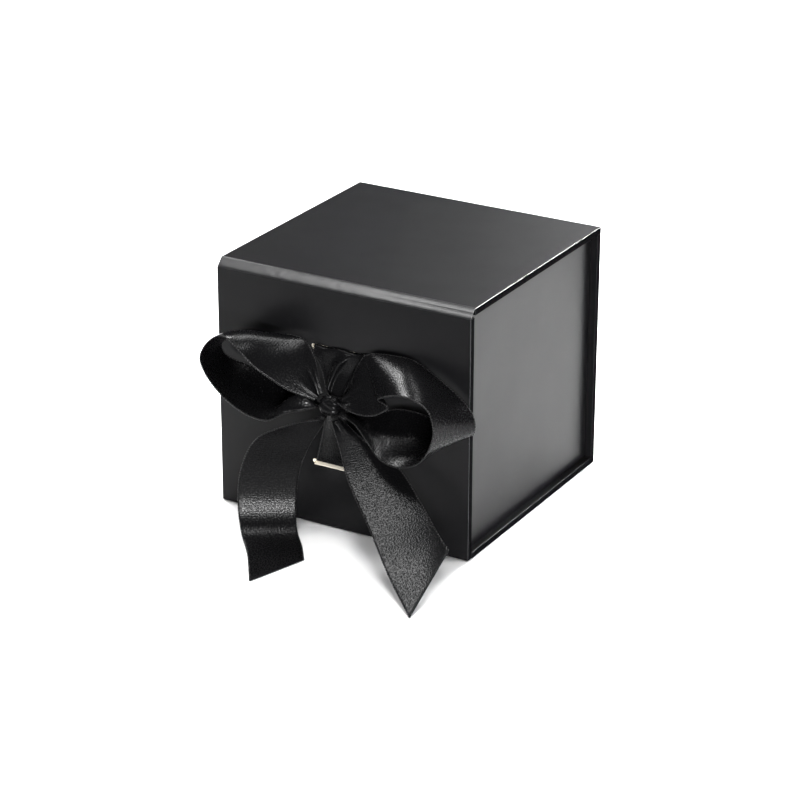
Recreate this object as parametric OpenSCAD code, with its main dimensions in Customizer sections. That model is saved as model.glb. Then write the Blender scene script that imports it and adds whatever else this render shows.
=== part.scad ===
// Rigid gift box with a wrap-round case, a magnetic front flap and a ribbon bow.
// Millimetres, +Z up. The origin is the middle of the underside of the base,
// the flap faces -Y and the spine is at +Y.

/* [Case] */
// Width of the case, left to right
case_w = 110; // [90:1:180]
// Depth of the case, from the flap's face to the spine's face
case_d = 106.5; // [80:0.5:180]
// Height of the closed box
case_h = 101; // [95:1:160]
// Thickness of the grey board in every panel and wall
board_t = 2.2; // [1.8:0.1:3]
// Thickness of the covering and lining papers
paper_t = 0.2; // [0.1:0.05:0.3]
// Border of covering paper left showing round a lining
turn_in = 3; // [2:0.5:12]
// Spare paper in the front fold, past the thickness of a panel
fold_play = 0.7; // [0.5:0.1:2]
// Clear distance from a fold line to the paper on each side of it
crease_gap = 0.3; // [0.25:0.05:0.5]
// Height of the flap's lower edge above the table
flap_lift = 0.5; // [0.3:0.1:2]

/* [Tray] */
// How far the case reaches past the tray at each side
overhang = 3.2; // [2:0.1:8]
// Clearance between the tray's rim and the lid
rim_gap = 0.3; // [0.2:0.05:1]
// Clearance between the tray's front and the flap
flap_gap = 0.7; // [0.65:0.05:1.5]
// Depth of covering paper turned down inside the rim
rim_turn = 15; // [6:1:30]
// Length of each leg of a corner stay
stay_leg = 12; // [6:1:20]
// Thickness of a corner stay
stay_t = 0.1; // [0.05:0.01:0.15]

/* [Closure] */
// Diameter of the magnets and the catch plates
magnet_d = 12; // [8:1:16]
// Thickness of a magnet
magnet_t = 1.5; // [1:0.1:1.6]
// Thickness of a catch plate
plate_t = 1; // [0.5:0.1:1.5]
// Distance between the two magnets
magnet_span = 68; // [40:1:76]
// Height of the magnets above the table
magnet_z = 16; // [14:1:20]
// Extra diameter of a magnet's pocket
pocket_play = 0.3; // [0.1:0.05:0.6]

/* [Ribbon] */
// Width of the ribbon
ribbon_w = 22; // [18:0.5:25]
// Thickness of the ribbon
ribbon_t = 0.3; // [0.2:0.05:0.35]
// Extra length of a slit past the ribbon's width
slit_play = 4; // [1:0.5:8]
// Height of a slit
slit_h = 1.5; // [1:0.1:3]
// Distance between the two slits
slit_span = 47.5; // [42:0.5:54]
// Height of the slits' middle above the flap's middle
slit_rise = 1.3; // [-4:0.1:6]
// Clearance between the ribbon and the edge of the slit that it is pulled against
slit_ease = 0.1; // [0.05:0.05:0.3]

/* [Bow] */
// Width of the knot
knot_w = 8.6; // [7:0.1:9]
// Diameter of the knot
knot_d = 8; // [7:0.1:8.4]
// Height of the knot above the middle of the two slits
knot_rise = 4.6; // [2:0.1:8]
// Distance from the flap to the middle of the knot
knot_out = 8; // [7.5:0.1:10]
// Reach of the left loop from the middle of the knot
left_reach = 52; // [44:0.5:60]
// Reach of the right loop from the middle of the knot
right_reach = 59; // [44:0.5:66]
// Run of the left tail in front of the flap
left_run = 55; // [45:0.5:65]
// Run of the right tail in front of the flap
right_run = 51; // [45:0.5:65]
// Height of the folds gathered into the knot
gather = 1.2; // [0.4:0.1:1.6]
// Clearance between the knot and each ribbon end at it
knot_gap = 0.3; // [0.2:0.05:0.6]
// Clearance between the table and the tails that lie on it
table_gap = 0.3; // [0.2:0.05:1]

/* [Hidden] */
$fn = 64;

black = "#232325";
lining_black = "#2c2c2f";
grey_board = "#b9b2a4";
flap_core = "#e9e2d4";
steel = "silver";
satin = "#1b1b1d";
eps = 0.01;

// A covered panel is paper, board and paper
panel_t = board_t + 2 * paper_t;
front_y = -case_d / 2;
back_y = case_d / 2;
flap_in_y = front_y + panel_t;

// The front fold is a bevel between the lid's top and the flap's face
bevel = panel_t + fold_play;
bevel_half = bevel / sqrt(2) - crease_gap;
fold_dir = [-1, -1] / sqrt(2);
fold_in = [1, -1] / sqrt(2);
bevel_top = [front_y + bevel, case_h];
bevel_low = [front_y, case_h - bevel];
miter = paper_t * tan(22.5);

// Heights and depths of the case panels
lid_z = case_h - panel_t;
lid_back_y = back_y - crease_gap;
lid_board_y = bevel_top.x + miter;
flap_board_z = bevel_low.y - miter;

// The tray stands on the base board and against the spine board
tray_w = case_w - 2 * overhang;
tray_y0 = flap_in_y + flap_gap;
tray_y1 = back_y - paper_t - board_t;
tray_z0 = paper_t + board_t;
tray_z1 = lid_z - rim_gap;
wall_t = paper_t + board_t;
floor_z = tray_z0 + board_t;

// Ribbon and bow
slit_mid_z = (flap_lift + bevel_low.y) / 2 + slit_rise;
slit_zs = [slit_mid_z - slit_span / 2, slit_mid_z + slit_span / 2];
knot_z = slit_mid_z + knot_rise;
slit_len = ribbon_w + slit_play;
slit_pull = (slit_h - ribbon_t) / 2 - slit_ease;
run_zs = [slit_zs[0] + slit_pull, slit_zs[1] - slit_pull];
ribbon_lift = ribbon_t / 2 + table_gap;
knot_edge = knot_d / 4;
loop_start = knot_w / 2 + knot_gap + ribbon_t;

// The bow's points are drawn for these sizes, and follow the sizes that are set
drawn_ribbon_w = 22;
drawn_start = 4.9;
drawn_left_reach = 52;
drawn_right_reach = 59;
drawn_knot_out = 8;
drawn_drop = 54.55;
drawn_left_run = 55;
drawn_right_run = 51;

// Stations of each loop, from the knot round to the knot again. Each has a point on the edge towards the
// viewer and one on the edge towards the flap: sideways, out from the flap, and up from the knot's middle.
// The last pair is how far the ribbon between the edges arches up, and how far it stands up in a ridge
left_loop = [
    [[-4.9, 10.6, 2.6], [-4.9, 6.4, 3.2], [0, 0]],
    [[-9, 13, 4], [-6.6, 5.8, 9.5], [1, 0]],
    [[-14.1, 15.5, 6.2], [-9, 5, 16.8], [1.5, 0]],
    [[-19.5, 18, 10], [-14, 4, 22.4], [1.8, 0]],
    [[-25.5, 20.8, 15], [-23.5, 3, 22.6], [3.4, 0]],
    [[-31.5, 23, 22], [-34, 2.7, 19.8], [4, 0]],
    [[-37.5, 23.8, 26.2], [-44, 3.5, 17], [2.2, 0]],
    [[-43.5, 24.3, 22.8], [-50.5, 3, 14.8], [0.5, 0]],
    [[-47.2, 24.6, 16], [-52, 3, 11.8], [0, 0]],
    [[-45, 24.5, 9.5], [-50.3, 2.7, 8.6], [0, 0]],
    [[-39.5, 24, 3], [-45, 2.5, 7], [-0.8, 0]],
    [[-33, 23, -2], [-37, 2.6, 6], [-1.5, 0]],
    [[-26.5, 22, -4.9], [-28, 3, 5], [-1.5, 0]],
    [[-20.5, 20.4, -5.8], [-19, 4, 4], [-0.8, 1]],
    [[-14.5, 17, -2.9], [-12, 4.8, 2], [0, 4.5]],
    [[-9, 14, -1.8], [-8, 5.4, 0.3], [0, 4.8]],
    [[-4.9, 10.6, -1.2], [-4.9, 6.4, -2], [0, 1.4]]
];
right_loop = [
    [[4.9, 10.6, 2.6], [4.9, 6.4, 3.2], [0, 0]],
    [[11, 12.2, 1.6], [6.7, 5.2, 8.5], [0.8, 0]],
    [[17.5, 13.2, 1.7], [8.6, 4.3, 14.5], [0.8, 0]],
    [[23.5, 14, 3.6], [10, 3.8, 17.5], [0.8, 0]],
    [[28.5, 14.2, 7.8], [11.3, 3.5, 19.8], [0, 0]],
    [[24.5, 14.6, 10], [12.5, 3.2, 21.2], [0, 0]],
    [[28, 16.8, 12.6], [16, 2.8, 22.4], [0.8, 0]],
    [[33, 19.5, 15.2], [24, 2.5, 23.2], [1.2, 0]],
    [[38.5, 21.5, 16.9], [33, 2.5, 22.8], [1.2, 0]],
    [[45, 23.3, 17.2], [42.5, 2.5, 18.2], [0.8, 0]],
    [[51, 24.4, 14.8], [51.5, 2.5, 12.5], [0, 0]],
    [[53.3, 24.7, 9], [57.3, 2.6, 7.2], [0, 0]],
    [[52.8, 24.4, 3.8], [59, 3, 2], [0, 0]],
    [[50.3, 23.7, -2.2], [57, 3, -1.4], [0, 0]],
    [[46, 22.8, -7.6], [50.5, 3.2, -0.8], [0, 0]],
    [[38.5, 21.2, -11.6], [41, 3, 1.8], [-1, 0]],
    [[31.5, 19.4, -12.6], [33, 3, 2.8], [-1.5, 0]],
    [[25.5, 17.5, -11.3], [25.5, 3.4, 2.2], [-1.5, 0]],
    [[20, 15.2, -7.3], [17.5, 4.4, -0.6], [-0.5, 0]],
    [[12.5, 12.8, -2], [10, 5.4, -2], [0, 0]],
    [[4.9, 10.6, -1.2], [4.9, 6.4, -2], [0, 0]]
];

// Stations of each tail, from the knot to its cut end, with heights above the ribbon's rest on the table
left_tail = [
    [[-3.5, 11, 49.9], [-2, 6.5, 49.9], [0, 0]],
    [[-13, 15.5, 46.9], [-4.5, 8, 44.7], [0, 0]],
    [[-25, 20.5, 40.4], [-9, 9.5, 36.5], [0, 0]],
    [[-31, 22.5, 27.8], [-13, 10, 25.6], [0, 0]],
    [[-32.5, 23, 13.1], [-14.5, 10.5, 12], [0, 0]],
    [[-29.5, 25.5, 2.5], [-12.5, 13, 2.5], [0, 0]],
    [[-19.5, 37, 0.2], [-5.5, 21, 0.2], [0, 0]],
    [[-7, 55, 0], [1, 30, 0], [0, 0]]
];
right_tail = [
    [[2.1, 11.5, 49.9], [3.6, 6.5, 49.9], [0, 0]],
    [[7.5, 14.5, 42.5], [15, 8.5, 43.6], [0, 0]],
    [[15, 20.5, 32.2], [30, 9, 36], [0, 0]],
    [[29, 29, 19.6], [44, 14.5, 25.1], [0, 0]],
    [[43, 39, 8.2], [52, 18, 18], [0, 0]],
    [[59, 51, 0], [58, 20.5, 13.6], [0, 0]]
];

// Steps between two stations, and facets across the ribbon
along_steps = 3;
across_steps = 6;

// Place and width of a ridge across the ribbon, as shares of the ribbon's width
ridge_at = 0.3;
ridge_share = 0.15;

// Folds across the ribbon at the knot, and the share of its length that they run out in
gather_folds = 1.5;
gather_share = 0.16;

// Curves through points

function spline(a, b, c, d, t) =
    0.5 * (2 * b + (c - a) * t + (2 * a - 5 * b + 4 * c - d) * t * t + (3 * b - a - 3 * c + d) * t * t * t);

function through(pts, steps) =
    let (
        last = len(pts) - 1,
        lead = 2 * pts[0] - pts[1],
        tail = 2 * pts[last] - pts[last - 1]
    )
    [
        for (i = [0 : last - 1], s = [0 : steps - 1])
            spline(
                i == 0 ? lead : pts[i - 1], pts[i], pts[i + 1],
                i == last - 1 ? tail : pts[i + 2], s / steps
            ),
        pts[last]
    ];

function unit(v) = v / norm(v);

// Height of the gathered folds at one place: strong at the knot, none in the open ribbon
function fold_at(share, u, both_ends) =
    let (
        start = max(0, 1 - share / gather_share),
        finish = both_ends ? max(0, 1 - (1 - share) / gather_share) : 0
    )
    gather * (start * start + finish * finish) * cos(360 * gather_folds * u) / 2;

// Height of the ribbon above the straight line between its edges
function rise_at(rise, u) =
    rise[0] * 4 * u * (1 - u) + rise[1] * exp(-pow((u - ridge_at) / ridge_share, 2));

// The ribbon's middle surface between its two edges
function sheet(near, far, rise, both_ends) =
    let (n = len(near) - 1)
    [
        for (i = [0 : n])
            let (
                run = near[min(i + 1, n)] - near[max(i - 1, 0)] + far[min(i + 1, n)] - far[max(i - 1, 0)],
                face = unit(cross(run, far[i] - near[i]))
            )
            [
                for (j = [0 : across_steps])
                    let (u = j / across_steps)
                    near[i] * (1 - u) + far[i] * u
                        + [0, 0, rise_at(rise[i], u)] + face * fold_at(i / n, u, both_ends)
            ]
    ];

function sheet_normal(g, i, j) =
    let (n = len(g) - 1, m = len(g[0]) - 1)
    unit(cross(
        g[min(i + 1, n)][j] - g[max(i - 1, 0)][j],
        g[i][min(j + 1, m)] - g[i][max(j - 1, 0)]
    ));

function edge_curve(stations, k) = through([for (s = stations) s[k]], along_steps);

// Solid ribbon of one thickness on the middle surface through its stations
module ribbon(stations, both_ends = false) {
    g = sheet(edge_curve(stations, 0), edge_curve(stations, 1), edge_curve(stations, 2), both_ends);
    n = len(g) - 1;
    m = across_steps;
    row = m + 1;
    lower = (n + 1) * row;
    half = ribbon_t / 2;
    upper_pts = [for (i = [0 : n], j = [0 : m]) g[i][j] + half * sheet_normal(g, i, j)];
    lower_pts = [for (i = [0 : n], j = [0 : m]) g[i][j] - half * sheet_normal(g, i, j)];
    top_faces = [
        for (i = [0 : n - 1], j = [0 : m - 1])
            let (a = i * row + j)
            each [[a, a + 1, a + row], [a + 1, a + row + 1, a + row]]
    ];
    under_faces = [
        for (f = top_faces) [f[0] + lower, f[2] + lower, f[1] + lower]
    ];
    edge_faces = [
        for (i = [0 : n - 1])
            let (a = i * row, b = a + m)
            each [
                [a, a + row, a + lower], [a + row, a + row + lower, a + lower],
                [b, b + lower, b + row], [b + row, b + lower, b + row + lower]
            ]
    ];
    end_faces = [
        for (j = [0 : m - 1])
            let (a = j, b = n * row + j)
            each [
                [a, a + lower, a + 1], [a + 1, a + lower, a + 1 + lower],
                [b, b + 1, b + lower], [b + 1, b + 1 + lower, b + lower]
            ]
    ];
    polyhedron(concat(upper_pts, lower_pts), concat(top_faces, under_faces, edge_faces, end_faces));
}

// A drawn point of a loop at the set sizes: it starts beside the knot and ends at the loop's reach
function loop_point(p, drawn_reach, reach) =
    let (grow = (reach - loop_start) / (drawn_reach - drawn_start))
    [
        sign(p.x) * (loop_start + (abs(p.x) - drawn_start) * grow),
        front_y - knot_out - (p.y - drawn_knot_out),
        knot_z + p.z
    ];

// A drawn point of a tail at the set sizes: it comes down from the knot to the table
function tail_point(p, grow) = [
    p.x,
    front_y - knot_out - (p.y - drawn_knot_out) * grow,
    ribbon_lift + p.z * (knot_z - ribbon_lift) / drawn_drop
];

// A station with the ribbon widened about its own middle
function widened(a, b, rise) =
    let (half = (a - b) / 2 * ribbon_w / drawn_ribbon_w)
    [(a + b) / 2 + half, (a + b) / 2 - half, rise];

module loop_ribbon(drawn, drawn_reach, reach) {
    ribbon([
        for (s = drawn)
            widened(loop_point(s[0], drawn_reach, reach), loop_point(s[1], drawn_reach, reach), s[2])
    ], both_ends = true);
}

module tail_ribbon(drawn, grow) {
    ribbon([for (s = drawn) widened(tail_point(s[0], grow), tail_point(s[1], grow), s[2])]);
}

// Band from the knot to a slit above (up = 1) or below it (up = -1), opening out to the ribbon's width
module band_ribbon(slit_z, up) {
    seat = (knot_d / 2 + knot_gap) / sqrt(2);
    knot_end = [-knot_w / 2 + knot_edge / 2, front_y - knot_out + seat, knot_z + up * seat];
    slit_end = [-ribbon_w / 2, front_y - ribbon_t, slit_z];
    middle = (knot_end + slit_end) / 2 + [0, ribbon_t, 0];
    ribbon([for (p = [knot_end, middle, slit_end]) [p, [-p.x, p.y, p.z], [0, 0]]]);
}

// Covered panels: outer face down, width along X, length along Y

// Paper round a board: outer face, side edges and the ends that are named, turned in on the inner face
module panel_wrap(w, l, near_end, far_end, side_turn, end_turn) {
    y0 = near_end ? paper_t : -eps;
    y1 = far_end ? l - paper_t : l + eps;
    window_y0 = near_end ? max(end_turn, paper_t) : -eps;
    window_y1 = far_end ? l - max(end_turn, paper_t) : l + eps;
    difference() {
        translate([-w / 2, 0, 0])
            cube([w, l, panel_t]);
        translate([-w / 2 + paper_t, y0, paper_t])
            cube([w - 2 * paper_t, y1 - y0, board_t]);
        translate([-w / 2 + side_turn, window_y0, paper_t])
            cube([w - 2 * side_turn, window_y1 - window_y0, panel_t]);
    }
}

// Box between two opposite corners
module block(a, b) {
    translate(a)
        cube(b - a);
}

// Outline in Y and Z drawn out along X
module drawn_out(outline, w) {
    translate([-w / 2, 0, 0])
        rotate([90, 0, 90])
            linear_extrude(w)
                polygon(outline);
}

// Slits with round ends, cut along Y through the flap
module slits() {
    depth = panel_t + 2 * eps;
    for (z = slit_zs)
        translate([0, front_y - eps, z])
            rotate([-90, 0, 0]) {
                translate([-slit_len / 2 + slit_h / 2, -slit_h / 2, 0])
                    cube([slit_len - slit_h, slit_h, depth]);
                for (side = [-1, 1])
                    translate([side * (slit_len - slit_h) / 2, 0, 0])
                        cylinder(d = slit_h, h = depth);
            }
}

// Disc along Y from a face towards +Y
module disc(side, y, d, t) {
    translate([side * magnet_span / 2, y, magnet_z])
        rotate([-90, 0, 0])
            cylinder(d = d, h = t);
}

// Base and spine

module base_board() {
    color(grey_board)
        block(
            [-case_w / 2 + paper_t, tray_y0 + paper_t, paper_t],
            [case_w / 2 - paper_t, back_y - paper_t, tray_z0]
        );
}

module base_wrap() {
    color(black)
        difference() {
            translate([0, tray_y0, 0])
                panel_wrap(case_w, back_y - tray_y0, true, true, overhang, 0);
            block([-tray_w / 2, tray_y0 - eps, tray_z0], [tray_w / 2, back_y - paper_t, panel_t + eps]);
        }
}

module spine_board() {
    color(grey_board)
        block(
            [-case_w / 2 + paper_t, tray_y1, panel_t],
            [case_w / 2 - paper_t, back_y - paper_t, tray_z1 - paper_t]
        );
}

module spine_wrap() {
    color(black)
        difference() {
            translate([0, back_y, panel_t])
                rotate([90, 0, 0])
                    panel_wrap(case_w, tray_z1 - panel_t, false, true, overhang, 0);
            block([-tray_w / 2, tray_y0, panel_t], [tray_w / 2, tray_y1, tray_z1 + eps]);
        }
}

// Tray

module tray_wall(a, b) {
    color(grey_board)
        block([a.x, a.y, tray_z0], [b.x, b.y, tray_z1 - paper_t]);
}

module tray_floor_board() {
    color(grey_board)
        block(
            [-tray_w / 2 + wall_t, tray_y0 + wall_t, tray_z0],
            [tray_w / 2 - wall_t, tray_y1 - wall_t, floor_z]
        );
}

module tray_front_board() {
    difference() {
        tray_wall([-tray_w / 2 + wall_t, tray_y0 + paper_t], [tray_w / 2 - wall_t, tray_y0 + wall_t]);
        for (side = [-1, 1])
            disc(side, tray_y0 + paper_t - eps, magnet_d + pocket_play, plate_t + eps);
    }
}

module tray_back_board() {
    tray_wall([-tray_w / 2 + wall_t, tray_y1 - wall_t], [tray_w / 2 - wall_t, tray_y1 - paper_t]);
}

module tray_left_board() {
    tray_wall([-tray_w / 2 + paper_t, tray_y0 + paper_t], [-tray_w / 2 + wall_t, tray_y1 - paper_t]);
}

module tray_right_board() {
    tray_wall([tray_w / 2 - wall_t, tray_y0 + paper_t], [tray_w / 2 - paper_t, tray_y1 - paper_t]);
}

// Strip of paper folded round one outer corner of the wall boards
module corner_stay(side, y, inward) {
    color(flap_core)
        translate([side * (tray_w / 2 - paper_t + stay_t), y - inward * stay_t, tray_z0])
            mirror([side > 0 ? 1 : 0, 0, 0])
                mirror([0, inward > 0 ? 0 : 1, 0])
                    linear_extrude(tray_z1 - paper_t - tray_z0)
                        difference() {
                            square(stay_leg);
                            translate([stay_t, stay_t])
                                square(stay_leg);
                        }
}

module stay_front_left() {
    corner_stay(-1, tray_y0 + paper_t, 1);
}

module stay_front_right() {
    corner_stay(1, tray_y0 + paper_t, 1);
}

module stay_back_left() {
    corner_stay(-1, tray_y1 - paper_t, -1);
}

module stay_back_right() {
    corner_stay(1, tray_y1 - paper_t, -1);
}

// Paper band round the walls, over the rim and down inside it
module tray_wrap() {
    inside_x = tray_w / 2 - wall_t;
    color(black)
        difference() {
            block([-tray_w / 2, tray_y0, tray_z0], [tray_w / 2, tray_y1, tray_z1]);
            difference() {
                block(
                    [-tray_w / 2 + paper_t, tray_y0 + paper_t, tray_z0 - eps],
                    [tray_w / 2 - paper_t, tray_y1 - paper_t, tray_z1 - paper_t]
                );
                block(
                    [-inside_x, tray_y0 + wall_t, tray_z1 - rim_turn],
                    [inside_x, tray_y1 - wall_t, tray_z1]
                );
            }
            block(
                [-inside_x + paper_t, tray_y0 + wall_t + paper_t, tray_z0],
                [inside_x - paper_t, tray_y1 - wall_t - paper_t, tray_z1 + eps]
            );
            stay_front_left();
            stay_front_right();
            stay_back_left();
            stay_back_right();
        }
}

// Paper on the inside of the walls, from the floor to the turned-down cover
module tray_lining() {
    inside_x = tray_w / 2 - wall_t;
    color(lining_black)
        difference() {
            block(
                [-inside_x, tray_y0 + wall_t, floor_z],
                [inside_x, tray_y1 - wall_t, tray_z1 - rim_turn]
            );
            block(
                [-inside_x + paper_t, tray_y0 + wall_t + paper_t, floor_z - eps],
                [inside_x - paper_t, tray_y1 - wall_t - paper_t, tray_z1]
            );
        }
}

module floor_lining() {
    edge = wall_t + paper_t;
    color(lining_black)
        block(
            [-tray_w / 2 + edge, tray_y0 + edge, floor_z],
            [tray_w / 2 - edge, tray_y1 - edge, floor_z + paper_t]
        );
}

module catch_plate(side) {
    color(steel)
        disc(side, tray_y0 + paper_t, magnet_d, plate_t);
}

module catch_plate_left() {
    catch_plate(-1);
}

module catch_plate_right() {
    catch_plate(1);
}

// Lid

module lid_board() {
    color(grey_board)
        block(
            [-case_w / 2 + paper_t, lid_board_y, lid_z + paper_t],
            [case_w / 2 - paper_t, lid_back_y - paper_t, case_h - paper_t]
        );
}

// Half of the paper in the front fold, from a panel's edge to the fold line
module fold_leaf(root, along, joint) {
    tip = root + along * bevel_half;
    color(black)
        drawn_out([root, tip, tip + fold_in * paper_t, joint], case_w);
}

module lid_wrap() {
    color(black) {
        translate([0, bevel_top.x, case_h])
            mirror([0, 0, 1])
                difference() {
                    panel_wrap(case_w, lid_back_y - bevel_top.x, false, true, turn_in, turn_in);
                    block([-case_w, -eps, paper_t], [case_w, miter, panel_t + eps]);
                }
        fold_leaf(bevel_top, fold_dir, bevel_top + [miter, -paper_t]);
    }
}

module lid_lining() {
    color(lining_black)
        block(
            [-case_w / 2 + turn_in, lid_board_y, lid_z],
            [case_w / 2 - turn_in, lid_back_y - turn_in, lid_z + paper_t]
        );
}

// Flap

module flap_board() {
    color(flap_core)
        difference() {
            block(
                [-case_w / 2 + paper_t, front_y + paper_t, flap_lift + paper_t],
                [case_w / 2 - paper_t, flap_in_y - paper_t, flap_board_z]
            );
            slits();
            for (side = [-1, 1])
                disc(side, flap_in_y - paper_t - magnet_t, magnet_d + pocket_play, magnet_t + eps);
        }
}

module flap_wrap() {
    color(black)
        difference() {
            union() {
                translate([0, front_y, bevel_low.y])
                    rotate([-90, 0, 0])
                        difference() {
                            panel_wrap(case_w, bevel_low.y - flap_lift, false, true, turn_in, turn_in);
                            block([-case_w, -eps, paper_t], [case_w, miter, panel_t + eps]);
                        }
                fold_leaf(bevel_low, -fold_dir, bevel_low + [paper_t, -miter]);
            }
            slits();
        }
}

module flap_lining() {
    color(lining_black)
        difference() {
            block(
                [-case_w / 2 + turn_in, flap_in_y - paper_t, flap_lift + turn_in],
                [case_w / 2 - turn_in, flap_in_y, flap_board_z]
            );
            slits();
        }
}

module magnet(side) {
    color(steel)
        disc(side, flap_in_y - paper_t - magnet_t, magnet_d, magnet_t);
}

module magnet_left() {
    magnet(-1);
}

module magnet_right() {
    magnet(1);
}

// Ribbon

// Run behind the flap, with both ends passed forward through the slits
module ribbon_back_run() {
    out_y = front_y - ribbon_t / 2;
    back = flap_in_y + ribbon_t;
    top = run_zs[1] + ribbon_t / 2;
    low = run_zs[0] - ribbon_t / 2;
    color(satin)
        drawn_out([
            [out_y, low], [back, low], [back, top], [out_y, top],
            [out_y, top - ribbon_t], [flap_in_y, top - ribbon_t],
            [flap_in_y, low + ribbon_t], [out_y, low + ribbon_t]
        ], ribbon_w);
}

module ribbon_upper_band() {
    color(satin)
        band_ribbon(run_zs[1], 1);
}

module ribbon_lower_band() {
    color(satin)
        band_ribbon(run_zs[0], -1);
}

module bow_knot() {
    color(satin)
        translate([-knot_w / 2, front_y - knot_out, knot_z])
            rotate([0, 90, 0])
                rotate_extrude() {
                    translate([0, knot_edge])
                        square([knot_d / 2, knot_w - 2 * knot_edge]);
                    square([knot_d / 2 - knot_edge, knot_w]);
                    for (y = [knot_edge, knot_w - knot_edge])
                        translate([knot_d / 2 - knot_edge, y])
                            circle(knot_edge);
                }
}

module bow_left_loop() {
    color(satin)
        loop_ribbon(left_loop, drawn_left_reach, left_reach);
}

module bow_right_loop() {
    color(satin)
        loop_ribbon(right_loop, drawn_right_reach, right_reach);
}

module bow_left_tail() {
    color(satin)
        tail_ribbon(left_tail, left_run / drawn_left_run);
}

module bow_right_tail() {
    color(satin)
        tail_ribbon(right_tail, right_run / drawn_right_run);
}

base_board();
base_wrap();
spine_board();
spine_wrap();
tray_floor_board();
tray_front_board();
tray_back_board();
tray_left_board();
tray_right_board();
stay_front_left();
stay_front_right();
stay_back_left();
stay_back_right();
tray_wrap();
tray_lining();
floor_lining();
catch_plate_left();
catch_plate_right();
lid_board();
lid_wrap();
lid_lining();
flap_board();
flap_wrap();
flap_lining();
magnet_left();
magnet_right();
ribbon_back_run();
ribbon_upper_band();
ribbon_lower_band();
bow_knot();
bow_left_loop();
bow_right_loop();
bow_left_tail();
bow_right_tail();
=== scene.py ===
# %% [markdown]
# # A black gift box with a satin bow
# This lesson dresses the construction model of a rigid gift box: boards, papers, magnets and ribbon
# are already there as plain solids, and two hinges let the lid and the front flap open.
# Here each visible piece gets its true surface: paper drawn round the board edges, creased folds,
# and a ribbon with pleats, a weave and a beaded edge.

# %% Load the frame
import math

import bmesh
import bpy
import numpy as np
from mathutils import Matrix, Vector


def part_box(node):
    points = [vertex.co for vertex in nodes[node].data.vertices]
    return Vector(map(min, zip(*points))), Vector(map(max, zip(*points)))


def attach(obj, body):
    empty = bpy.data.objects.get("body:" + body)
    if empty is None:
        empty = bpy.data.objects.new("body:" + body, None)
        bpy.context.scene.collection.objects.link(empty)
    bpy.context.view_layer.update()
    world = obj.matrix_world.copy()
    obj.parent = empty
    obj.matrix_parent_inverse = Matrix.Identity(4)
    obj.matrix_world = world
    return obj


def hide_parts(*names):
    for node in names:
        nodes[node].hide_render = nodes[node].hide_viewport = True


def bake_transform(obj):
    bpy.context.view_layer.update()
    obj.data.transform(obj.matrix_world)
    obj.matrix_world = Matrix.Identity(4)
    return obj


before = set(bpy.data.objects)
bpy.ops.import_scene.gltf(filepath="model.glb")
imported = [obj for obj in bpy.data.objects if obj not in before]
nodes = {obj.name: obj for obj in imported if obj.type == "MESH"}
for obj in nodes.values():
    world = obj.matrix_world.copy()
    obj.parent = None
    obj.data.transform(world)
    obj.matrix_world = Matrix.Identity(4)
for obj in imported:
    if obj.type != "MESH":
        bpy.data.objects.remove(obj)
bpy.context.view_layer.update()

# %% [markdown]
# ## Units and the camera
# The frame is in metres and the box is small, so the pieces' sizes are written in millimetres and turned by
# one factor. The camera and the lights are placed in metres.
# The camera stands where the photograph was taken from: to the right of the flap and above it,
# with a long lens, so that upright edges stay almost parallel.

# %% Camera
MM = 0.001
camera_data = bpy.data.cameras.new("camera")
camera_data.lens = 125.16
camera_data.sensor_width = 36
camera = bpy.data.objects.new("camera", camera_data)
bpy.context.scene.collection.objects.link(camera)
bpy.context.scene.camera = camera

AZIMUTH, ELEVATION, ROLL = math.radians(29.95), math.radians(23.01), math.radians(0.125)
CAMERA_AT = (0.5010, -0.8787, 0.4645)
back = Vector((
    math.sin(AZIMUTH) * math.cos(ELEVATION),
    -math.cos(AZIMUTH) * math.cos(ELEVATION),
    math.sin(ELEVATION),
))
right = Vector((0, 0, 1)).cross(back).normalized()
up = back.cross(right)
right, up = (
    math.cos(ROLL) * right + math.sin(ROLL) * up,
    math.cos(ROLL) * up - math.sin(ROLL) * right,
)
turn = Matrix((right, up, back)).transposed().to_4x4()
camera.matrix_world = Matrix.Translation(CAMERA_AT) @ turn
print("camera at", [round(v, 3) for v in camera.location])

# %% [markdown]
# ## Small tools for modelling by hand
# An operator works on whatever is selected, so the tools below first deselect everything.
# `block_piece` adds a cube primitive at its size and place, `carve` cuts a box out of a piece,
# and `round_edges` turns the sharp edges into the small radius that paper takes over board,
# or a wider one where the board's edge has been pressed round.

# %% Modelling tools
EDGE_R, WIDE_R = 0.45, 1.0
SHARP_ANGLE, SMOOTH_ANGLE = math.radians(30), math.radians(40)


def pick(piece):
    if bpy.context.object and bpy.context.object.mode != "OBJECT":
        bpy.ops.object.mode_set(mode="OBJECT")
    bpy.ops.object.select_all(action="DESELECT")
    piece.select_set(True)
    bpy.context.view_layer.objects.active = piece


def settle(piece):
    """Leaves the object at the origin, with its place in its mesh."""
    pick(piece)
    bpy.ops.object.transform_apply(location=True, rotation=True, scale=True)
    return piece


def primitive(name, operator, **settings):
    """Adds a primitive with nothing else selected, and names it."""
    bpy.ops.object.select_all(action="DESELECT")
    operator(**settings)
    piece = bpy.context.object
    piece.name = piece.data.name = name
    return piece


def block_piece(name, low, high):
    low, high = Vector(low) * MM, Vector(high) * MM
    piece = primitive(name, bpy.ops.mesh.primitive_cube_add, size=1, location=(low + high) / 2)
    piece.scale = high - low
    return settle(piece)


def apply_modifier(piece, kind, **settings):
    pick(piece)
    modifier = piece.modifiers.new(kind.lower(), kind)
    for key, value in settings.items():
        setattr(modifier, key, value)
    bpy.ops.object.modifier_apply(modifier=modifier.name)


def cut_away(piece, cutter):
    apply_modifier(piece, "BOOLEAN", operation="DIFFERENCE", solver="EXACT", object=cutter)
    bpy.data.objects.remove(cutter)


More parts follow.
